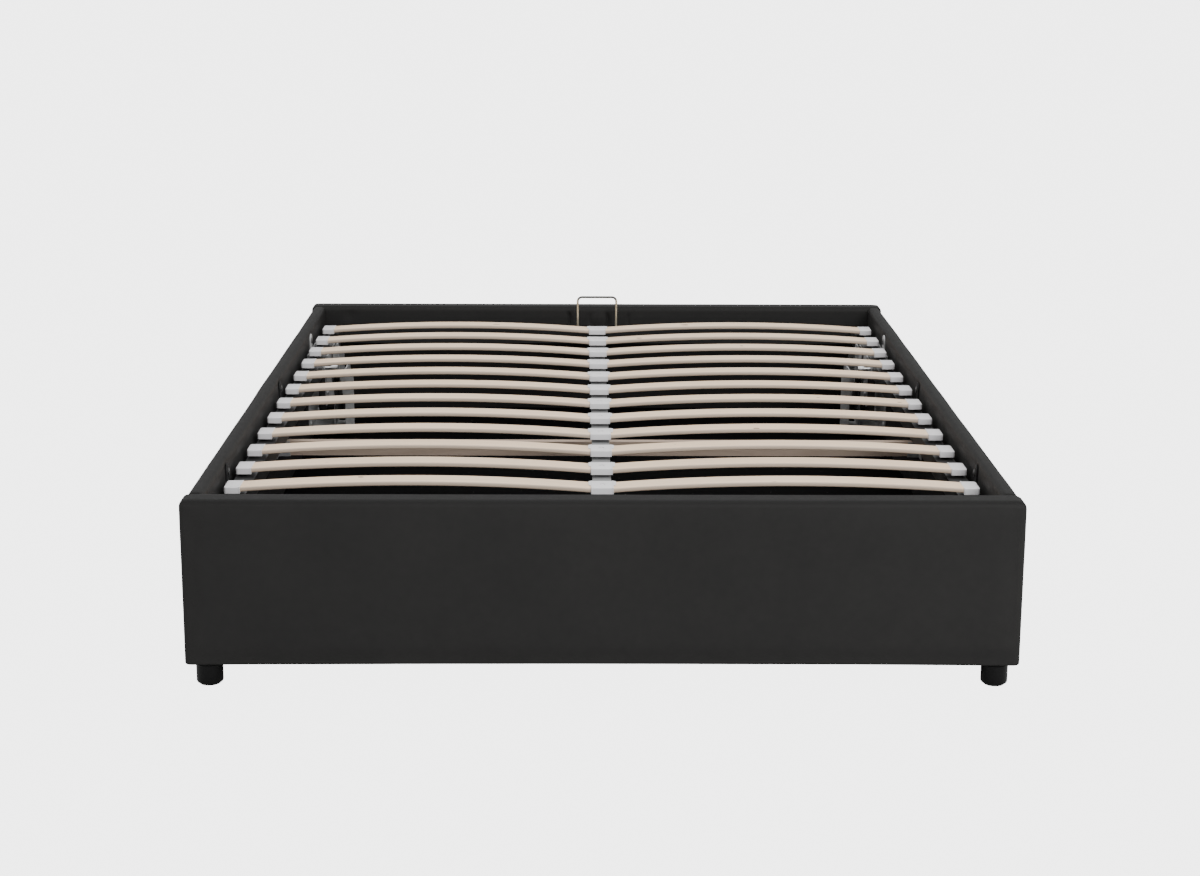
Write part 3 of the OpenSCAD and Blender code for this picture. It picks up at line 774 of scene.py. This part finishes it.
def powder_coat(name, low, high, rough, shine=0.45):
    """Baked powder paint with its fine orange peel and a little dust."""
    coat = Finish(name, Specular_IOR_Level=shine)
    here = coat.place()
    peel = coat.noise(here, 420.0, 2.0, 0.5)
    dust = coat.noise(here, 14.0, 4.0, 0.6)
    coat.set(Base_Color=coat.blend((dust * 0.8 + peel * 0.2).clamp(), low, high),
             Roughness=rough + dust * 0.10, Normal=coat.bump(peel, 0.18, 0.0003))
    return coat.material


black_steel = powder_coat("black_steel", grey(0.016), grey(0.026), 0.34)
paint(powder_coat("black_steel.rests", grey(0.012), grey(0.020), 0.60, 0.10), "frame_rests")
paint(plastic("rubber_pad", grey(0.012), grey(0.022), 0.72, 0.4), "rest_pads")


# ---- Base brackets of the lift ----
# Bent zinc-plated plates with two cheeks each, screwed to the side rails near the head end.
# They hold the pivot pins and the lower pins of the gas struts.

bright_steel = zinc("bright_steel", grey(0.45), grey(0.62), 0.30)
paint(grey_steel, "left_base_bracket", "right_base_bracket")
paint(bright_steel, "left_pivot_pin", "right_pivot_pin")
bracket_low = Vector(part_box("right_base_bracket")[0])
screws = [(y, z) for y in (0.605, 0.765) for z in (bracket_low.z + 0.020, bracket_low.z + 0.110)]
screws += [(y, 0.216) for y in (-0.029, 0.029)]
spots = [placed((s * rail_face, y, z), (-s, 0, 0)) for s in (-1, 1) for y, z in screws]
settle(copies(bolt(0.0068, 0.0025, 0.004, 0.022), spots, "bracket_bolt_set"), zinc_steel, "bed_box",
       "bracket_bolts")
lug_z = 0.345
spots = [placed((s * rail_face, y, lug_z), (-s, 0, 0)) for s in (-1, 1) for y in lug_y]
settle(copies(bolt(0.0068, 0.0025, 0.004, 0.022), spots, "ear_screws"), black_steel, "bed_box")


# ---- Frame of the lifting platform ----
# Square steel tubes, welded and powder-coated black, with a rail down the middle in the same coat that is
# coloured a lighter grey as painted light.
# The open ends of the side tubes are closed with plastic plugs.

paint(black_steel, "left_side_tube", "right_side_tube", "head_tube", "foot_tube")
# Painted light: the centre rail has the same dark coat as the tubes, and its lighter grey colour stands for
# the light on its top.
paint(powder_coat("grey_paint.painted_light", grey(0.17, -0.01), grey(0.21, -0.01), 0.36), "centre_rail")
paint(plastic("black_plastic", grey(0.014), grey(0.020), 0.45, 0.3), "tube_plugs")


def weld_line(start, end):
    """A row of overlapping drops of weld between two points."""
    start, end = Vector(start), Vector(end)
    unpick()
    bpy.ops.mesh.primitive_ico_sphere_add(subdivisions=2, radius=0.0024, location=start)
    bead = bpy.context.object
    bpy.ops.object.transform_apply(location=True, rotation=True, scale=True)
    count = 14
    apply_modifier(bead, "ARRAY", count=count, use_relative_offset=False, use_constant_offset=True,
                   constant_offset_displace=(end - start) / (count - 1))
    return bead


tube_low, tube_high = [Vector(c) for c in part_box("right_side_tube")]
cross_low, cross_high = [Vector(c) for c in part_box("head_tube")]
mid_high = Vector(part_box("centre_rail")[1])
tuck = 0.0006
lines = []
for s in (-1, 1):
    for e in (-1, 1):
        x = s * tube_low.x
        near, far = e * cross_low.y, e * cross_high.y
        lines.append(weld_line((x, near, tube_low.z + 0.002), (x, near, tube_high.z - 0.002)))
        for z in (tube_low.z, tube_high.z - tuck):
            lines.append(weld_line((x, near + e * 0.002, z), (x, far - e * 0.002, z)))
for e in (-1, 1):
    y = e * mid_high.y
    for s in (-1, 1):
        x = s * mid_high.x
        lines.append(weld_line((x, y, tube_low.z + 0.002), (x, y, tube_high.z - 0.002)))
    lines.append(weld_line((-mid_high.x, y, tube_low.z), (mid_high.x, y, tube_low.z)))
welds = joined(lines, "platform_welds")
smooth(welds, 60)
settle(welds, black_steel, "platform")


# ---- Lift arms, bushes and arm bolts ----
# A flat zinc-plated arm is bolted to each side tube. The tube turns on a plastic bush round the pivot pin.

paint(grey_steel, "left_lift_arm", "right_lift_arm")
paint(plastic("bush_plastic", (0.030, 0.036, 0.042, 1), (0.040, 0.048, 0.056, 1), 0.4, 0.1), "pivot_bushes")
paint(bright_steel, "arm_bolts")


# ---- Slat caps ----
# Moulded white plastic. Each end cap has a mouth with a raised lip for one slat, and a peg in the side tube.
# The double caps on the centre rail hold two slats, with a rivet in the middle and a tab over each slat.

cap_white = plastic("cap_plastic", (0.61, 0.60, 0.61, 1), (0.66, 0.65, 0.66, 1), 0.42, 0.10)
cap_low, cap_high = [Vector(c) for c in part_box("right_end_caps")]
cap_tall = 0.014
cap_z = cap_high.z - cap_tall
cap_top = cap_high.z - 0.0006
cap_half = 0.0283
slat_half = 0.0267
row_y = [sum(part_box(n)[k][1] for k in (0, 1)) / 2 for n in sorted(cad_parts) if n.startswith("slat_row")]


def cap_body(name, low_x, high_x, plan_edge):
    """A box with rounded upright edges where plan_edge is true and a soft top."""
    body = slab(name, (low_x, -cap_half, cap_z + 0.0003), (high_x, cap_half, cap_top))
    upright = along(2)
    edit(body, edge=lambda a, b: upright(a, b) and plan_edge(a.x))
    bpy.ops.mesh.bevel(offset=0.0055, segments=5)
    unpick()
    edit(body, edge=lambda a, b: min(a.z, b.z) > cap_top - 1e-5)
    bpy.ops.mesh.bevel(offset=0.0022, segments=3)
    unpick()
    return body


lip_thick = 0.0030


def add_lip(cap, x):
    """The raised rim round a mouth, grown onto a cap."""
    proud = 0.0004
    rim = slab("rim", (x, -cap_half - proud, cap_z), (x + lip_thick, cap_half + proud, cap_top + 0.0003))
    apply_modifier(rim, "BEVEL", width=0.0008, segments=2, limit_method="ANGLE")
    apply_modifier(cap, "BOOLEAN", object=rim, operation="UNION", solver="EXACT")
    bpy.data.objects.remove(rim)


def mouth(low_x, high_x, rise):
    """The slot that a slat's end goes into; it climbs by rise towards its inner end."""
    hole = slab("mouth", (low_x, -slat_half, cap_z + 0.0009), (high_x, slat_half, cap_z + 0.0107))
    for vertex in hole.data.vertices:
        if abs(vertex.co.x - low_x) < 1e-6:
            vertex.co.z += rise
    return hole


def peg(x):
    """The peg under a cap, with a flange at its root."""
    parts = [round_bar("peg", 0.004, cap_z - 0.014, cap_z + 0.001, 24),
             round_bar("flange", 0.0075, cap_z - 0.0012, cap_z + 0.0005, 24)]
    for part in parts:
        part.data.transform(Matrix.Translation((x, 0, 0)))
    return parts


end_x = cap_high.x
end_cap = cap_body("end_cap", cap_low.x, end_x, lambda x: x > end_x - 1e-4)
add_lip(end_cap, cap_low.x)
cut(end_cap, mouth(cap_low.x - 0.004, end_x - 0.0048, 0.0021))
for y in (-0.021, 0.021):
    rib = slab("rib", (cap_low.x + 0.006, y - 0.0007, cap_top - 0.001),
               (end_x - 0.007, y + 0.0007, cap_top + 0.0003))
    end_cap = joined([end_cap, rib], "end_cap")
peg_in = 0.016
end_cap = joined([end_cap] + peg(end_x - peg_in), "end_cap")
smooth(end_cap, 32)
half_turn = Matrix.Rotation(math.pi, 4, "Z")
pick(end_cap)
bpy.ops.object.duplicate()
other_cap = bpy.context.object
settle(copies(end_cap, [Matrix.Translation((0, y, 0)) for y in row_y], "right_cap_set"), cap_white,
       "platform", "right_end_caps")
settle(copies(other_cap, [Matrix.Translation((0, y, 0)) @ half_turn for y in row_y], "left_cap_set"),
       cap_white, "platform", "left_end_caps")

mid_x = Vector(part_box("centre_caps")[1]).x - 0.0015
mid_cap = cap_body("mid_cap", -mid_x, mid_x, lambda x: False)
for start in (-mid_x, mid_x - lip_thick):
    add_lip(mid_cap, start)
cut(mid_cap, mouth(mid_x + 0.004, 0.0078, 0.0022))
cut(mid_cap, mouth(-mid_x - 0.004, -0.0078, 0.0022))
seat_r = 0.006
cut(mid_cap, round_bar("seat", seat_r, cap_top - 0.0015, cap_top + 0.004, 32))
rivet = turned("rivet", [(0, cap_top - 0.0016), (0.0040, cap_top - 0.0016), (0.0040, cap_top - 0.0008),
                         (0.0030, cap_top - 0.0001), (0.0012, cap_top + 0.0001), (0, cap_top + 0.0001)], 24)
tabs = []
tab_out = 0.005
for s in (-1, 1):
    tab = slab("tab", (s * (mid_x - 0.001), -0.007, cap_top - 0.0018),
               (s * (mid_x + tab_out), 0.025, cap_top + 0.0003))
    edit(tab, edge=lambda a, b: along(2)(a, b) and abs(a.x) > mid_x + tab_out / 2)
    bpy.ops.mesh.bevel(offset=0.0045, segments=4)
    unpick()
    tabs.append(tab)
mid_cap = joined([mid_cap, rivet] + peg(0) + tabs, "mid_cap")
smooth(mid_cap, 32)
settle(copies(mid_cap, [Matrix.Translation((0, y, 0)) for y in row_y], "centre_cap_set"), cap_white,
       "platform", "centre_caps")


# ---- Slats ----
# Bent plywood slats of pale birch, sanded, with eased edges and a slight difference from one to the next.
# Each is a rounded section swept along the arc of its bow, pushed into its caps at both ends.

slat_low, slat_high = [Vector(c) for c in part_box("slat_row_01")]
slat_inner = 0.008
slat_chord = slat_high.x - slat_inner
slat_middle = (slat_high.x + slat_inner) / 2
slat_thick = 0.0095
slat_rise = 0.015
slat_radius = (slat_chord * slat_chord / 4 + slat_rise * slat_rise) / (2 * slat_rise)
slat_width = slat_high.y - slat_low.y
slat_pitch = row_y[1] - row_y[0]


def birch():
    wood = Finish("slat_wood", Specular_IOR_Level=0.3)
    x, y, z = wood.axis("X"), wood.axis("Y"), wood.axis("Z")
    streak = wood.noise(wood.place((2.2, 42.0, 160.0)), 2.6, 5.0, 0.62, 0.7)
    band = wood.noise(wood.place((0.8, 9.0, 9.0)), 1.6, 3.0, 0.5, 0.4)
    board = wood.noise(wood.place((0.9, 6.5, 1.0)), 1.0, 0.0)
    fleck = wood.noise(wood.place((14.0, 60.0, 60.0)), 3.2, 2.0, 0.5).above(0.70, 0.05)
    knot = wood.noise(wood.place((22.0, 26.0, 26.0)), 1.0, 1.0, 0.4).above(0.745, 0.02)
    pale = wood.blend(streak, (0.67, 0.50, 0.35, 1), (0.83, 0.67, 0.51, 1))
    warm = wood.blend(streak, (0.64, 0.44, 0.27, 1), (0.79, 0.60, 0.41, 1))
    face = wood.blend((band * 0.5 + board * 0.75 - 0.28).clamp(), pale, warm)
    face = wood.blend(fleck * 0.35, face, (0.40, 0.28, 0.17, 1))
    face = wood.blend(knot * 0.8, face, (0.16, 0.10, 0.06, 1))
    turn = (y - row_y[0]) / slat_pitch + 0.5
    off_middle = abs(turn.fraction() - 0.5) * slat_pitch
    side = off_middle.above(slat_width / 2 - 0.0022, 0.0008)
    out = abs(x) - slat_middle
    height = z - (slat_low.z + slat_rise) + out * out / (2 * slat_radius)
    ply = (height / 0.00158).fraction()
    ply_line = (abs(ply - 0.5) * 2).above(0.72, 0.2)
    edge = wood.blend(ply_line * 0.5, (0.52, 0.42, 0.33, 1), (0.36, 0.27, 0.19, 1))
    wood.set(Base_Color=wood.blend(side, face, edge), Roughness=0.52 + streak * 0.15,
             Normal=wood.bump(streak * 0.8 + fleck * 0.2, 0.25, 0.0004))
    return wood.material


def bowed_plank(name, side, y):
    """One slat: its section stands at the inner end and is swept along the bow to the outer end."""
    half_angle = math.asin(slat_chord / 2 / slat_radius)
    centre = Vector((side * slat_middle, y, slat_low.z + slat_rise - slat_radius))
    unpick()
    bpy.ops.mesh.primitive_plane_add(size=1)
    plank = bpy.context.object
    plank.name = name
    lay = Matrix.Translation(centre) @ Matrix.Rotation(-side * half_angle, 4, "Y")
    stand = Matrix.Translation((0, 0, slat_radius + slat_thick / 2)) @ Matrix.Rotation(math.pi / 2, 4, "Y")
    plank.data.transform(lay @ stand @ Matrix.Diagonal((slat_thick, slat_width, 1, 1)))
    edit(plank, vertex=lambda p: True)
    bpy.ops.mesh.bevel(offset=0.0032, segments=4, affect="VERTICES")
    bpy.ops.mesh.select_all(action="SELECT")
    bpy.ops.mesh.spin(steps=26, angle=-side * 2 * half_angle, center=centre, axis=(0, 1, 0))
    bpy.ops.mesh.select_all(action="SELECT")
    bpy.ops.mesh.remove_doubles(threshold=0.00001)
    bpy.ops.mesh.normals_make_consistent(inside=False)
    unpick()
    smooth(plank, 35)
    return plank


slat_birch = birch()
for number, y in enumerate(row_y, 1):
    node = "slat_row_%02d" % number
    pair = [bowed_plank(node, side, y) for side in (-1, 1)]
    settle(joined(pair, node + "_planks"), slat_birch, "platform", node)


# ---- Mattress stop ----
# A bent steel rod, yellow-zinc plated, pushed into two holes of the head tube.

def brassy_rod():
    """Yellow zinc, with painted light and shade: bright on the legs, and near black and dull along the upper
    bar.
    """
    rod = Finish("yellow_zinc")
    stain = rod.noise(rod.place(), 40.0, 3.0, 0.6)
    bar = rod.axis("Z").above(0.3985, 0.006)
    bright = rod.blend(stain, (0.70, 0.62, 0.46, 1), (0.84, 0.76, 0.60, 1))
    # Painted light and shade: the legs get a bright colour and the upper bar a near-black one, though both
    # are the same plating.
    rod.set(Base_Color=rod.blend(bar, bright, (0.040, 0.036, 0.030, 1)), Metallic=1 - bar * 0.8,
            Roughness=0.28 + stain * 0.12 + bar * 0.25)
    return rod.material


paint(brassy_rod(), "mattress_stop")


# ---- Pull strap ----
# A loop of black webbing, screwed under the foot tube, to raise the platform by. It is woven, 3 mm thick,
# and hangs open with a slight twist.

def webbing():
    band = Finish("webbing", Specular_IOR_Level=0.2, Sheen_Weight=0.25)
    x, z, y = band.axis("X"), band.axis("Z"), band.axis("Y")
    rib = abs((x / 0.0022).fraction() - 0.5) * 2
    pick_line = abs(((z + y) / 0.0016).fraction() - 0.5) * 2
    fuzz = band.noise(band.place(), 500.0, 3.0, 0.6)
    band.set(Base_Color=band.blend((rib * pick_line + fuzz * 0.3).clamp(), grey(0.008), grey(0.030)),
             Roughness=0.8 + fuzz * 0.15, Normal=band.bump(rib * 0.6 + pick_line * 0.4, 0.6, 0.0005))
    return band.material


strap_low, strap_high = [Vector(c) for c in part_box("pull_strap")]
strap_y = (strap_low.y + strap_high.y) / 2
strap_half = (strap_high.y - strap_low.y) / 2 - 0.0015
strap_top = strap_high.z - 0.0018
strap_turn = strap_low.z + strap_half + 0.002
strap_run = strap_top - strap_turn
strap_length = 2 * strap_half + 2 * strap_run + math.pi * strap_half


def strap_path(s):
    """(y, z) on the loop's line at the distance s from its upper front corner, going down the front."""
    if s < strap_run:
        return (-strap_half, strap_top - s)
    s -= strap_run
    if s < math.pi * strap_half:
        a = s / strap_half
        return (-strap_half * math.cos(a), strap_turn - strap_half * math.sin(a))
    s -= math.pi * strap_half
    if s < strap_run:
        return (strap_half, strap_turn + s)
    s -= strap_run
    return (strap_half - s, strap_top)


unpick()
bpy.ops.mesh.primitive_grid_add(x_subdivisions=8, y_subdivisions=96, size=1)
strap = bpy.context.object
for vertex in strap.data.vertices:
    s = (vertex.co.y + 0.5) * strap_length
    y, z = strap_path(min(s, strap_length - 1e-6))
    low_down = (strap_top - z) / (strap_top - strap_low.z)
    twist = 0.16 * low_down
    across = vertex.co.x * 0.039
    vertex.co = (across * math.cos(twist), strap_y + y + across * math.sin(twist) + 0.004 * low_down, z)
edit(strap, vertex=lambda p: True)
bpy.ops.mesh.remove_doubles(threshold=0.0002)
unpick()
apply_modifier(strap, "SOLIDIFY", thickness=0.0026, offset=0.0)
apply_modifier(strap, "BEVEL", width=0.0006, segments=2, limit_method="ANGLE")
strap = joined([strap], "pull_strap_loop")
smooth(strap, 50)
settle(strap, webbing(), "platform", "pull_strap")
strap_screw = bolt(0.0060, 0.0026, 0.002, 0.004)
strap_screw.data.transform(placed((0, strap_y, strap_top - 0.0012), (0, 0, -1)))
settle(joined([strap_screw], "strap_screw"), zinc_steel, "platform")


# ---- Gas struts ----
# One on each side: a black lacquered cylinder on the base bracket, and a bright piston rod on the lift arm.

paint(powder_coat("strut_black", grey(0.010), grey(0.014), 0.16), "left_gas_cylinder", "right_gas_cylinder")
paint(bright_steel, "left_gas_rod", "right_gas_rod")

bpy.context.view_layer.update()
